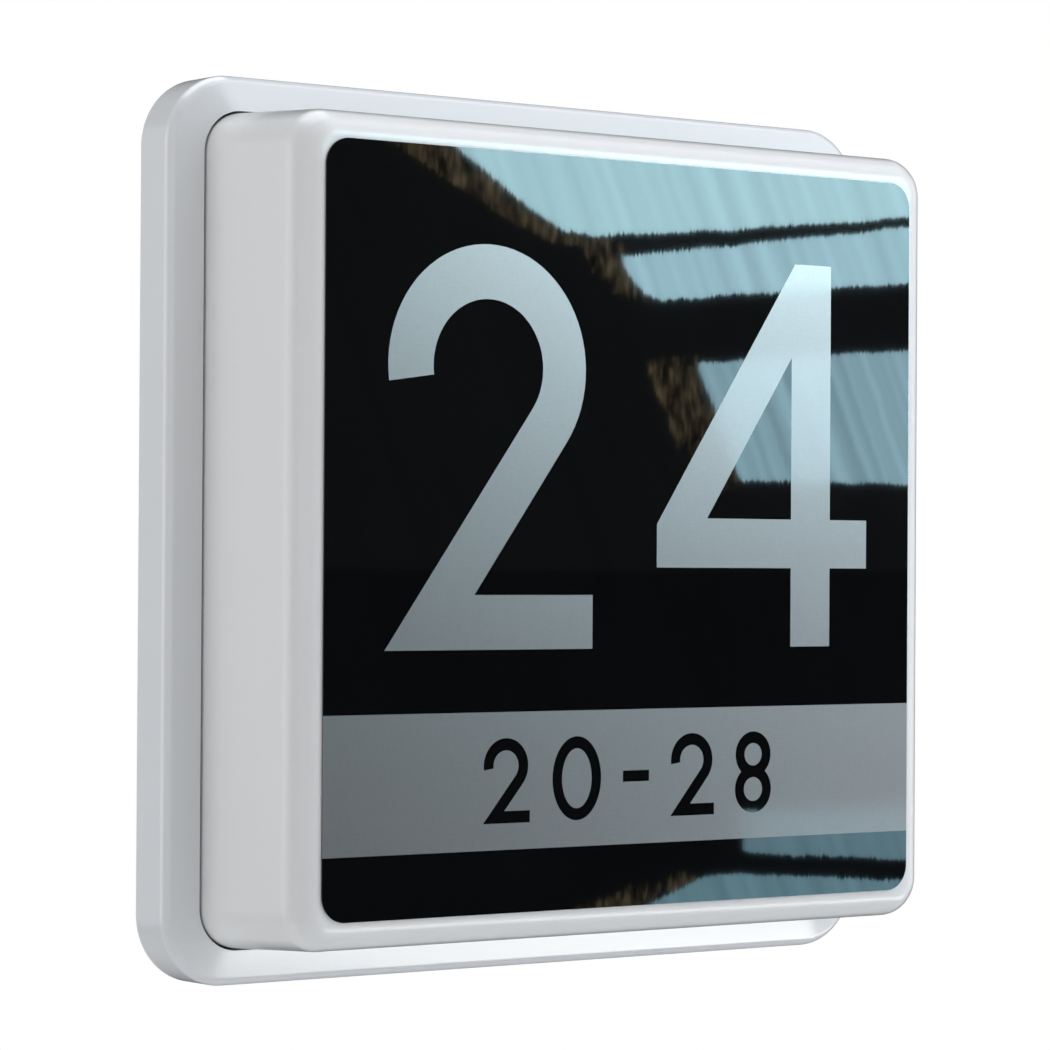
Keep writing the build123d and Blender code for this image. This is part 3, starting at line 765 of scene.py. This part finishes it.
def make_panel():
    """Silver sheet whose digits and band stand up into the black sheet's cut-outs."""
    setback, overlap = 0.01 * MM, 0.02 * MM
    marks = band_marks()
    band = [
        (-panel_half, band_bottom),
        (panel_half, band_bottom),
        (panel_half, band_top),
        (-panel_half, band_top),
    ]
    full = prism([rounded_square(panel_half, panel_corner_radius)], silver_back, panel_back)
    raised = prism(digits + [band] + marks, panel_back - overlap, panel_front - setback)
    silver = finish_mesh("silver_sheet", joined([full, evened(raised)]))

    upper = panel_outline(band_top, panel_half + MM)
    lower = panel_outline(-panel_half - MM, band_bottom)
    sheet = prism([upper, lower] + digits + marks, panel_back, panel_front)
    black = finish_mesh("black_sheet", evened(sheet))
    return silver, black


# ------------------------------------------------------------------ materials
def new_material(name):
    material = bpy.data.materials.new(name)
    material.use_nodes = True
    nodes = material.node_tree.nodes
    return material, nodes, material.node_tree.links, nodes["Principled BSDF"]


def set_values(node, values):
    for socket, value in values.items():
        node.inputs[socket].default_value = value


def noise(nodes, links, scale, detail, stretch=(1, 1, 1)):
    """Noise over object coordinates that are stretched first."""
    mapping = nodes.new("ShaderNodeMapping")
    mapping.inputs["Scale"].default_value = stretch
    links.new(nodes.new("ShaderNodeTexCoord").outputs["Object"], mapping.inputs["Vector"])
    texture = nodes.new("ShaderNodeTexNoise")
    set_values(texture, {"Scale": scale, "Detail": detail})
    links.new(mapping.outputs["Vector"], texture.inputs["Vector"])
    return texture


def tint(nodes, links, factor, first, second, start=0.3, end=0.7):
    """A colour between two, by a 0 to 1 value."""
    ramp = nodes.new("ShaderNodeValToRGB")
    for element, stop, colour in zip(ramp.color_ramp.elements, (start, end), (first, second)):
        element.position = stop
        element.color = (*colour, 1)
    links.new(factor, ramp.inputs["Fac"])
    return ramp.outputs["Color"]


def bump(nodes, links, height, distance):
    node = nodes.new("ShaderNodeBump")
    node.inputs["Distance"].default_value = distance
    links.new(height, node.inputs["Height"])
    return node.outputs["Normal"]


def maths(nodes, links, operation, inputs, kind="ShaderNodeVectorMath"):
    """A maths node whose inputs, by number or name, are other nodes' sockets or plain values."""
    node = nodes.new(kind)
    node.operation = operation
    for socket, value in inputs.items():
        if isinstance(value, bpy.types.NodeSocket):
            links.new(value, node.inputs[socket])
        else:
            node.inputs[socket].default_value = value
    return node


def mapped(nodes, links, value, low, high, first=0.0, last=1.0):
    """A value from low to high, made to run from first to last."""
    node = nodes.new("ShaderNodeMapRange")
    set_values(node, {"From Min": low, "From Max": high, "To Min": first, "To Max": last})
    links.new(value, node.inputs["Value"])
    return node.outputs["Result"]


def mixed(nodes, links, share, first, second):
    """Two shaders, with the second one's share from 0 to 1."""
    mix = nodes.new("ShaderNodeMixShader")
    links.new(share, mix.inputs["Fac"])
    links.new(first.outputs[0], mix.inputs[1])
    links.new(second.outputs[0], mix.inputs[2])
    return mix.outputs[0]


def moulded(name, colour, roughness, grain=900, grain_depth=0.01 * MM, shade=0.96, **values):
    """Moulded or painted surface: faint clouding of the colour and a fine grain."""
    material, nodes, links, shader = new_material(name)
    clouds = noise(nodes, links, scale=35, detail=4)
    darker = tuple(shade * channel for channel in colour)
    links.new(tint(nodes, links, clouds.outputs["Fac"], darker, colour), shader.inputs["Base Color"])
    grain_noise = noise(nodes, links, scale=grain, detail=2)
    links.new(bump(nodes, links, grain_noise.outputs["Fac"], grain_depth), shader.inputs["Normal"])
    set_values(shader, {"Roughness": roughness, **values})
    return material


def tilted_normal(nodes, links, layers):
    """The surface's normal, tilted a little by noise: (stretch, detail, tilt in x, tilt in z) each."""
    total = nodes.new("ShaderNodeNewGeometry").outputs["Normal"]
    for stretch, detail, tilt_x, tilt_z in layers:
        colours = noise(nodes, links, 1, detail, stretch).outputs["Color"]
        centred = maths(nodes, links, "SUBTRACT", {0: colours, 1: (0.5, 0.5, 0.5)})
        tilt = maths(nodes, links, "MULTIPLY", {0: centred.outputs[0], 1: (tilt_x, 0, tilt_z)})
        total = maths(nodes, links, "ADD", {0: total, 1: tilt.outputs[0]}).outputs[0]
    return maths(nodes, links, "NORMALIZE", {0: total}).outputs[0]


# The clear skin over the whole panel has fine upright streaks and a slow waviness
skin_waves = (
    ((1500, 0, 130), 3, 0.001, 0.0026),
    ((90, 0, 60), 1, 0.001, 0.0015),
)


def black_film():
    """Glossy near-black film, faintly clouded, under the clear skin."""
    material, nodes, links, shader = new_material("black_film_gloss")
    clouds = noise(nodes, links, scale=25, detail=3)
    dark, light = (0.0018, 0.0022, 0.0026), (0.0024, 0.0028, 0.0032)
    links.new(tint(nodes, links, clouds.outputs["Fac"], dark, light), shader.inputs["Base Color"])
    set_values(shader, {"Roughness": 0.02, "IOR": 1.5})
    links.new(tilted_normal(nodes, links, skin_waves), shader.inputs["Normal"])
    return material


def silver_film():
    """Silver-grey film: fine linen of crossed threads, softly glossy, under the same clear skin."""
    material, nodes, links, shader = new_material("silver_film_linen")
    fine, coarse = 2600, 260
    warp = noise(nodes, links, scale=1, detail=2, stretch=(fine, 0, coarse)).outputs["Fac"]
    weft = noise(nodes, links, scale=1, detail=2, stretch=(coarse, 0, fine)).outputs["Fac"]
    both = maths(nodes, links, "ADD", {0: warp, 1: weft}, kind="ShaderNodeMath").outputs[0]
    linen = maths(nodes, links, "MULTIPLY", {0: both, 1: 0.5}, kind="ShaderNodeMath").outputs[0]
    dark, light = (0.036, 0.045, 0.050), (0.060, 0.074, 0.081)
    links.new(tint(nodes, links, linen, dark, light), shader.inputs["Base Color"])
    links.new(bump(nodes, links, linen, 0.01 * MM), shader.inputs["Normal"])
    gloss = {
        "Roughness": 0.31,
        "IOR": 1.95,
        "Specular IOR Level": 1.0,
        "Specular Tint": (1.0, 0.82, 0.79, 1),
        "Coat Weight": 0.42,
        "Coat Roughness": 0.05,
    }
    set_values(shader, gloss)
    links.new(tilted_normal(nodes, links, skin_waves), shader.inputs["Coat Normal"])
    return material


def opal():
    """Milky plastic, with painted shade that darkens its colour where the surface turns away from view."""
    soft = {"Subsurface Weight": 0.35, "Subsurface Scale": 0.006}
    gloss = {"Coat Weight": 0.25, "Coat Roughness": 0.2}
    material = moulded("opal_plastic", (0.85, 0.845, 0.835), 0.28, shade=0.985, **soft, **gloss)
    nodes, links = material.node_tree.nodes, material.node_tree.links
    shader = nodes["Principled BSDF"]
    shader.inputs["Subsurface Radius"].default_value = (1.0, 0.95, 0.85)
    # Painted shade: the colour falls to about a third at grazing angles, standing in for the dark line
    # where the cover meets the flange
    edge_shade_weight = nodes.new("ShaderNodeLayerWeight")
    edge_shade_weight.inputs["Blend"].default_value = 0.5
    facing = edge_shade_weight.outputs["Facing"]
    shading = mapped(nodes, links, facing, low=0.62, high=0.95, first=1.0, last=0.35)
    colour = shader.inputs["Base Color"].links[0].from_socket
    shaded = maths(nodes, links, "SCALE", {0: colour, "Scale": shading})
    links.new(shaded.outputs[0], shader.inputs["Base Color"])
    return material


def metal(name, colour, roughness):
    return moulded(name, colour, roughness, grain=2500, shade=0.85, Metallic=1.0)


white_gloss = {"Coat Weight": 0.7, "Coat Roughness": 0.14}
clear = {"Transmission Weight": 1.0, "IOR": 1.49}
MATERIALS = {
    "white_housing": moulded("white_plastic", (0.80, 0.81, 0.82), 0.2, shade=0.985, **white_gloss),
    "opal_cover": opal(),
    "silver_film": silver_film(),
    "black_film": black_film(),
    "white_seal": moulded("silicone", (0.72, 0.73, 0.72), 0.6),
    "black_rubber": moulded("rubber", (0.02, 0.02, 0.022), 0.55, shade=0.7),
    "white_steel": moulded("painted_steel", (0.82, 0.82, 0.80), 0.3, grain=1500, grain_depth=0.03 * MM),
    "zinc_steel": metal("zinc_plate", (0.62, 0.61, 0.58), 0.3),
    "white_board": moulded("white_mask", (0.80, 0.81, 0.80), 0.35),
    "led_phosphor": moulded("phosphor", (0.85, 0.62, 0.12), 0.4),
    "clear_lens": moulded("acrylic", (0.97, 0.98, 0.98), 0.05, shade=0.99, **clear),
    "connector_white": moulded("connector_nylon", (0.82, 0.81, 0.77), 0.4),
    "driver_white": moulded("driver_plastic", (0.70, 0.71, 0.70), 0.5, grain_depth=0.04 * MM),
    "green_board": moulded("green_mask", (0.02, 0.14, 0.05), 0.3),
    "transformer_core": moulded("ferrite", (0.05, 0.048, 0.046), 0.6, shade=0.7),
    "capacitor_sleeve": moulded("sleeve", (0.03, 0.035, 0.07), 0.35),
    "terminal_white": moulded("terminal_nylon", (0.80, 0.79, 0.75), 0.45),
    "brass": metal("turned_brass", (0.74, 0.56, 0.24), 0.28),
    "lead_brown": moulded("brown_insulation", (0.11, 0.045, 0.02), 0.4),
    "lead_blue": moulded("blue_insulation", (0.02, 0.09, 0.34), 0.4),
    "lead_red": moulded("red_insulation", (0.34, 0.02, 0.015), 0.4),
    "lead_black": moulded("black_insulation", (0.015, 0.015, 0.016), 0.4),
}
slots = {part["node"]: part["material_slot"] for part in frame["record"]["subparts"]}


def stand_for(piece, node):
    """The piece takes a node's place and body and the material of its slot; the node is hidden."""
    piece.data.materials.clear()
    piece.data.materials.append(MATERIALS[slots[node]])
    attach(piece, frame["nodes"][node]["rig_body"])
    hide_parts(node)


# ------------------------------------------------------------------ camera
photo_side = 1050
focal_length_pixels = 3970.0
camera_yaw = radians(37.08)
camera_pitch = radians(0.54)
camera_roll = radians(0.34)
sensor = 36.0
camera_place = Vector((-0.669, -0.8955, -0.008))


def make_camera():
    data = bpy.data.cameras.new("camera")
    data.sensor_width = sensor
    data.lens = focal_length_pixels / photo_side * sensor
    data.dof.use_dof = False
    camera = bpy.data.objects.new("camera", data)
    camera.location = camera_place
    aim = Euler((pi / 2 + camera_pitch, 0, -camera_yaw)).to_matrix()
    camera.rotation_euler = (aim @ Matrix.Rotation(camera_roll, 3, "Z")).to_euler()
    bpy.context.scene.collection.objects.link(camera)
    bpy.context.scene.camera = camera


# ------------------------------------------------------------------ light
room_strength = 0.06


def area_light(name, place, side, power, colour):
    """A square lamp that faces the sign."""
    data = bpy.data.lights.new(name, "AREA")
    data.shape = "SQUARE"
    data.size = side
    data.energy = power
    data.color = colour
    light = bpy.data.objects.new(name, data)
    light.location = place
    light.rotation_euler = (Vector() - Vector(place)).to_track_quat("-Z", "Y").to_euler()
    bpy.context.scene.collection.objects.link(light)


def make_world():
    """White behind the object, and a dim grey room for what the surfaces reflect."""
    world = bpy.data.worlds.new("studio")
    world.use_nodes = True
    bpy.context.scene.world = world
    nodes, links = world.node_tree.nodes, world.node_tree.links
    background = nodes["Background"]
    set_values(background, {"Color": (1, 1, 1, 1), "Strength": 1.0})
    room = nodes.new("ShaderNodeBackground")
    set_values(room, {"Color": (0.95, 0.98, 1.0, 1), "Strength": room_strength})
    seen = nodes.new("ShaderNodeLightPath").outputs["Is Camera Ray"]
    links.new(mixed(nodes, links, seen, room, background), nodes["World Output"].inputs["Surface"])


def make_lights():
    """Bright from above and the right, dimmer from the left, behind and below."""
    lamps = [
        ("above_right", (1.1, -0.9, 1.2), 1.4, 12.4, (0.92, 0.95, 1.0)),
        ("above_front", (0.0, -0.9, 1.4), 1.4, 3.4, (0.91, 0.92, 1.0)),
        ("top", (0.0, 0.1, 1.7), 1.5, 21.5, (0.90, 0.96, 1.0)),
        ("right_front", (1.5, -0.8, 0.0), 1.2, 6.9, (0.87, 0.94, 1.0)),
        ("left_front", (-1.2, -1.2, 0.3), 1.2, 2.9, (0.98, 0.98, 0.98)),
        ("left_back", (-1.5, 0.7, 0.2), 1.2, 5.0, (1.0, 0.98, 0.95)),
        ("left_far_back", (-1.1, 1.2, 0.1), 1.2, 2.1, (0.81, 0.87, 1.0)),
        ("below_front", (0.0, -1.1, -1.2), 1.2, 1.7, (1.0, 0.95, 0.97)),
        ("right", (1.7, 0.0, 0.1), 1.2, 2.3, (0.95, 0.98, 1.0)),
    ]
    for lamp in lamps:
        area_light(*lamp)


# ------------------------------------------------------------------ what the panel reflects
sky_distance = 1.6
leaves_distance = sky_distance + 0.02
garden_distance = sky_distance + 0.1
mirror_camera = Vector((camera_place.x, -camera_place.y - 2 * panel_front, camera_place.z))


def seen_in_panel(x, z, distance):
    """Where a flat card has to be for the camera to see it at (x, z) mm in the panel."""
    middle = Vector((0, -panel_front, 0))
    facing = (middle - mirror_camera).normalized()
    along = Vector((x * MM, -panel_front, z * MM)) - mirror_camera
    reach = (middle - mirror_camera).length + distance
    return mirror_camera + along * (reach / along.dot(facing))


def slanted(nodes, links, slant, scale):
    """Noise in soft bars that lean to one side, and are narrower the larger the scale is."""
    place = nodes.new("ShaderNodeTexCoord").outputs["Object"]
    across = (0.8 * scale, 0.6 * scale, slant * scale)
    reached = maths(nodes, links, "DOT_PRODUCT", {0: place, 1: across}).outputs["Value"]
    bars = nodes.new("ShaderNodeTexNoise")
    bars.noise_dimensions = "1D"
    set_values(bars, {"Scale": 1, "Detail": 1})
    links.new(reached, bars.inputs["W"])
    return bars


def card_glow(name, colour, strength, cloudy, bristly=False):
    """Emission with soft slanted bars, or with the upright bristles of leaves, in it."""
    material = bpy.data.materials.new(name)
    material.use_nodes = True
    nodes, links = material.node_tree.nodes, material.node_tree.links
    nodes.remove(nodes["Principled BSDF"])
    shader = nodes.new("ShaderNodeEmission")
    shader.inputs["Strength"].default_value = strength
    if bristly:
        pattern = noise(nodes, links, scale=1, detail=5, stretch=(1000, 1000, 70))
        start, end = 0.48, 0.68
    else:
        pattern = slanted(nodes, links, slant=0.35, scale=90)
        start, end = 0.3, 0.7
    darker = tuple((1 - cloudy) * channel for channel in colour)
    bars = tint(nodes, links, pattern.outputs["Fac"], darker, colour, start, end)
    links.new(bars, shader.inputs["Color"])
    links.new(shader.outputs[0], nodes["Material Output"].inputs["Surface"])
    return material


def stage_glow(name, mesh, glow):
    """A glowing sheet that only gloss shows: it lights nothing and casts no shadow."""
    sheet = bpy.data.objects.new(name, mesh)
    bpy.context.scene.collection.objects.link(sheet)
    mesh.materials.append(glow)
    sheet.visible_camera = False
    sheet.visible_diffuse = False
    sheet.visible_shadow = False


def card(name, outline, colour, strength, distance=sky_distance, cloudy=0.2, bristly=False):
    """A glowing card in front of the sign, given by its outline in the panel's reflection."""
    mesh = bpy.data.meshes.new(name)
    shape = bmesh.new()
    shape.faces.new([shape.verts.new(seen_in_panel(x, z, distance)) for x, z in outline])
    bmesh.ops.triangulate(shape, faces=shape.faces, ngon_method="EAR_CLIP")
    shape.to_mesh(mesh)
    shape.free()
    stage_glow(name, mesh, card_glow(name, colour, strength, cloudy, bristly))


def ragged(points, reach, seed, pitch):
    """A line through the points, broken up like leaves against the sky."""
    source = random.Random(seed)
    line = [points[0]]
    for start, end in zip(points, points[1:]):
        run, rise = end[0] - start[0], end[1] - start[1]
        count = max(2, int(hypot(run, rise) / pitch))
        for i in range(1, count + 1):
            share = i / count
            jump = source.uniform(-reach, reach) if i < count else 0
            line.append((start[0] + run * share, start[1] + rise * share + jump))
    return line


def sky_outlines():
    """(x, z) outlines in mm of the five stretches of sky, from the top down."""
    far, right, low_right, low = 320, 200, 130, -125
    upper = [(right, far), (-72, far)]
    upper += ragged([(-62, 104), (-38, 88.5), (-24, 82), (-9, 81.2)], reach=1.6, seed=1, pitch=0.35)
    upper += ragged([(-9, 81.2), (6, 81.6), (50, 86), (101, 91.2)], reach=0.5, seed=6, pitch=0.45)[1:]
    upper += [(right, 104)]
    second = [(right, 101)]
    second += ragged([(101, 86.1), (50, 79.3), (16, 75.4), (-4, 74.2)], reach=0.5, seed=7, pitch=0.45)
    second += ragged([(-4, 74.2), (-1, 70), (6, 65.2), (12, 64.2)], reach=1.6, seed=2, pitch=0.35)[1:]
    second += ragged([(12, 64.2), (101, 73.3)], reach=0.4, seed=8, pitch=0.45)[1:]
    second += [(right, 82)]
    third = [(right, 61)]
    third += ragged([(101, 52.1), (53, 48), (23, 46.7)], reach=0.4, seed=10, pitch=0.45)
    third += ragged([(23, 46.7), (29.4, 37), (36.5, 23.5), (38.3, 16)], reach=2.2, seed=3, pitch=0.35)[1:]
    third += ragged([(38.3, 16), (101, 15.5)], reach=0.4, seed=11, pitch=0.45)[1:]
    third += [(right, 14.5)]
    fourth = [(low_right, -77.5), (39.6, -76)]
    fourth += ragged([(39.6, -86.9), (99, -91.3)], reach=0.7, seed=4, pitch=0.4)
    fourth += [(low_right, -93.5)]
    fifth = [(low_right, -101)]
    fifth += ragged([(99, -98.6), (53.8, -95.2), (38.2, -94), (29, -93.8)], reach=0.7, seed=5, pitch=0.4)
    fifth += ragged([(29, -93.8), (16, -99), (2, -103)], reach=1.8, seed=12, pitch=0.35)[1:]
    fifth += [(0, low), (low_right, low)]
    return upper, second, third, fourth, fifth


def make_sky():
    """Bright sky between dark eaves and trees, as the panel shows it."""
    upper, second, third, fourth, fifth = sky_outlines()
    card("sky_upper", upper, (0.558, 0.904, 1.0), 15.2, cloudy=0.16)
    card("sky_second", second, (0.53, 0.87, 1.0), 13.6, cloudy=0.2)
    card("sky_third", third, (0.514, 0.855, 1.0), 9.8, cloudy=0.34)
    card("sky_fourth", fourth, (0.47, 0.84, 1.0), 4.8, cloudy=0.2)
    card("sky_fifth", fifth, (0.45, 0.835, 1.0), 5.4, cloudy=0.25)
    leaf_colour, leaf_strength = (1.0, 0.77, 0.45), 2.4
    top_edge = [(-84, 104), (-66, 97), (-48, 88), (-32, 80), (-8, 78)]
    brush = [
        ("leaves_upper", top_edge + [(-12, 84), (-30, 94), (-48, 106)]),
        ("leaves_second", [(-18, 77.5), (-4, 77.5), (10, 64), (-2, 64), (-14, 70)]),
        ("leaves_third", [(4, 47), (28, 47), (42, 16), (30, 13), (14, 26)]),
        ("leaves_fifth", [(-18, -99.5), (22, -93.5), (30, -96), (6, -105), (-18, -106)]),
    ]
    for name, outline in brush:
        broken = ragged(outline, reach=2.5, seed=9, pitch=0.5)
        card(name, broken, leaf_colour, leaf_strength, leaves_distance, cloudy=1.0, bristly=True)
    reach, horizon = 170, -10
    dusk = [(-reach, horizon), (reach, horizon), (reach, reach), (-reach, reach)]
    night = [(-reach, -reach), (reach, -reach), (reach, horizon), (-reach, horizon)]
    card("dusk_garden", dusk, (0.95, 1.0, 1.0), 0.07, garden_distance)
    card("dark_garden", night, (0.9, 1.0, 1.0), 0.03, garden_distance)


def make_ground_glow():
    """Bright ground low on the right, for the gloss of the lower flange."""
    mesh = bpy.data.meshes.new("ground_glow")
    half_width, half_height = 0.60, 0.18
    middle = Vector((1.03, -0.88, -0.77))
    across = Vector((0.68, 0.73, 0)) * half_width
    up = Vector((-0.40, 0.37, 0.84)) * half_height
    spots = [middle - across - up, middle + across - up, middle + across + up, middle - across + up]
    mesh.from_pydata(spots, [], [(0, 1, 2, 3)])
    stage_glow("ground_glow", mesh, card_glow("ground_glow", (1.0, 1.0, 0.98), 7.2, cloudy=0.1))


def make_stage():
    """A pale round floor well below the sign, which fades to the white behind."""
    drop, radius, fade_start, fade_end = 0.42, 6, 0.5, 1.35
    bpy.ops.mesh.primitive_circle_add(vertices=96, radius=radius, fill_type="NGON", location=(0, 0, -drop))
    floor = bpy.context.object
    floor.name = "floor"
    material, nodes, links, shader = new_material("pale_floor")
    set_values(shader, {"Base Color": (0.86, 0.87, 0.88, 1), "Roughness": 0.7})
    glow = nodes.new("ShaderNodeEmission")
    set_values(glow, {"Color": (1, 1, 1, 1), "Strength": 1.0})
    place = nodes.new("ShaderNodeTexCoord").outputs["Object"]
    distance = maths(nodes, links, "LENGTH", {0: place}).outputs["Value"]
    fade = mapped(nodes, links, distance, fade_start, fade_end)
    links.new(mixed(nodes, links, fade, shader, glow), nodes["Material Output"].inputs["Surface"])
    floor.data.materials.append(material)
    floor.visible_glossy = False
    floor.visible_shadow = False


# ------------------------------------------------------------------ the sign
make_camera()
make_world()
make_lights()
make_sky()
make_ground_glow()
make_stage()

for name, node in frame["nodes"].items():
    node.data.materials.clear()
    node.data.materials.append(MATERIALS[slots[name]])

stand_for(make_housing(), "base_tray")
stand_for(make_seal(), "cover_seal")
stand_for(make_grommet(), "cable_grommet")
stand_for(make_cover(), "diffuser_cover")
silver, black = make_panel()
stand_for(silver, "silver_film")
stand_for(black, "black_film")
for node in ("reflector_screws", "led_board_screws", "driver_screws", "terminal_fixing_screws"):
    stand_for(make_screws(node.replace("screws", "cross_screws"), node), node)
stand_for(make_clamp_screws(), "terminal_screws")
stand_for(make_lenses(), "led_lenses")
for node in ("live_lead", "neutral_lead", "led_positive_lead", "led_negative_lead", "jumper_leads"):
    stand_for(make_lead(node.replace("lead", "round_lead"), node), node)

bpy.context.scene.view_settings.view_transform = "Standard"
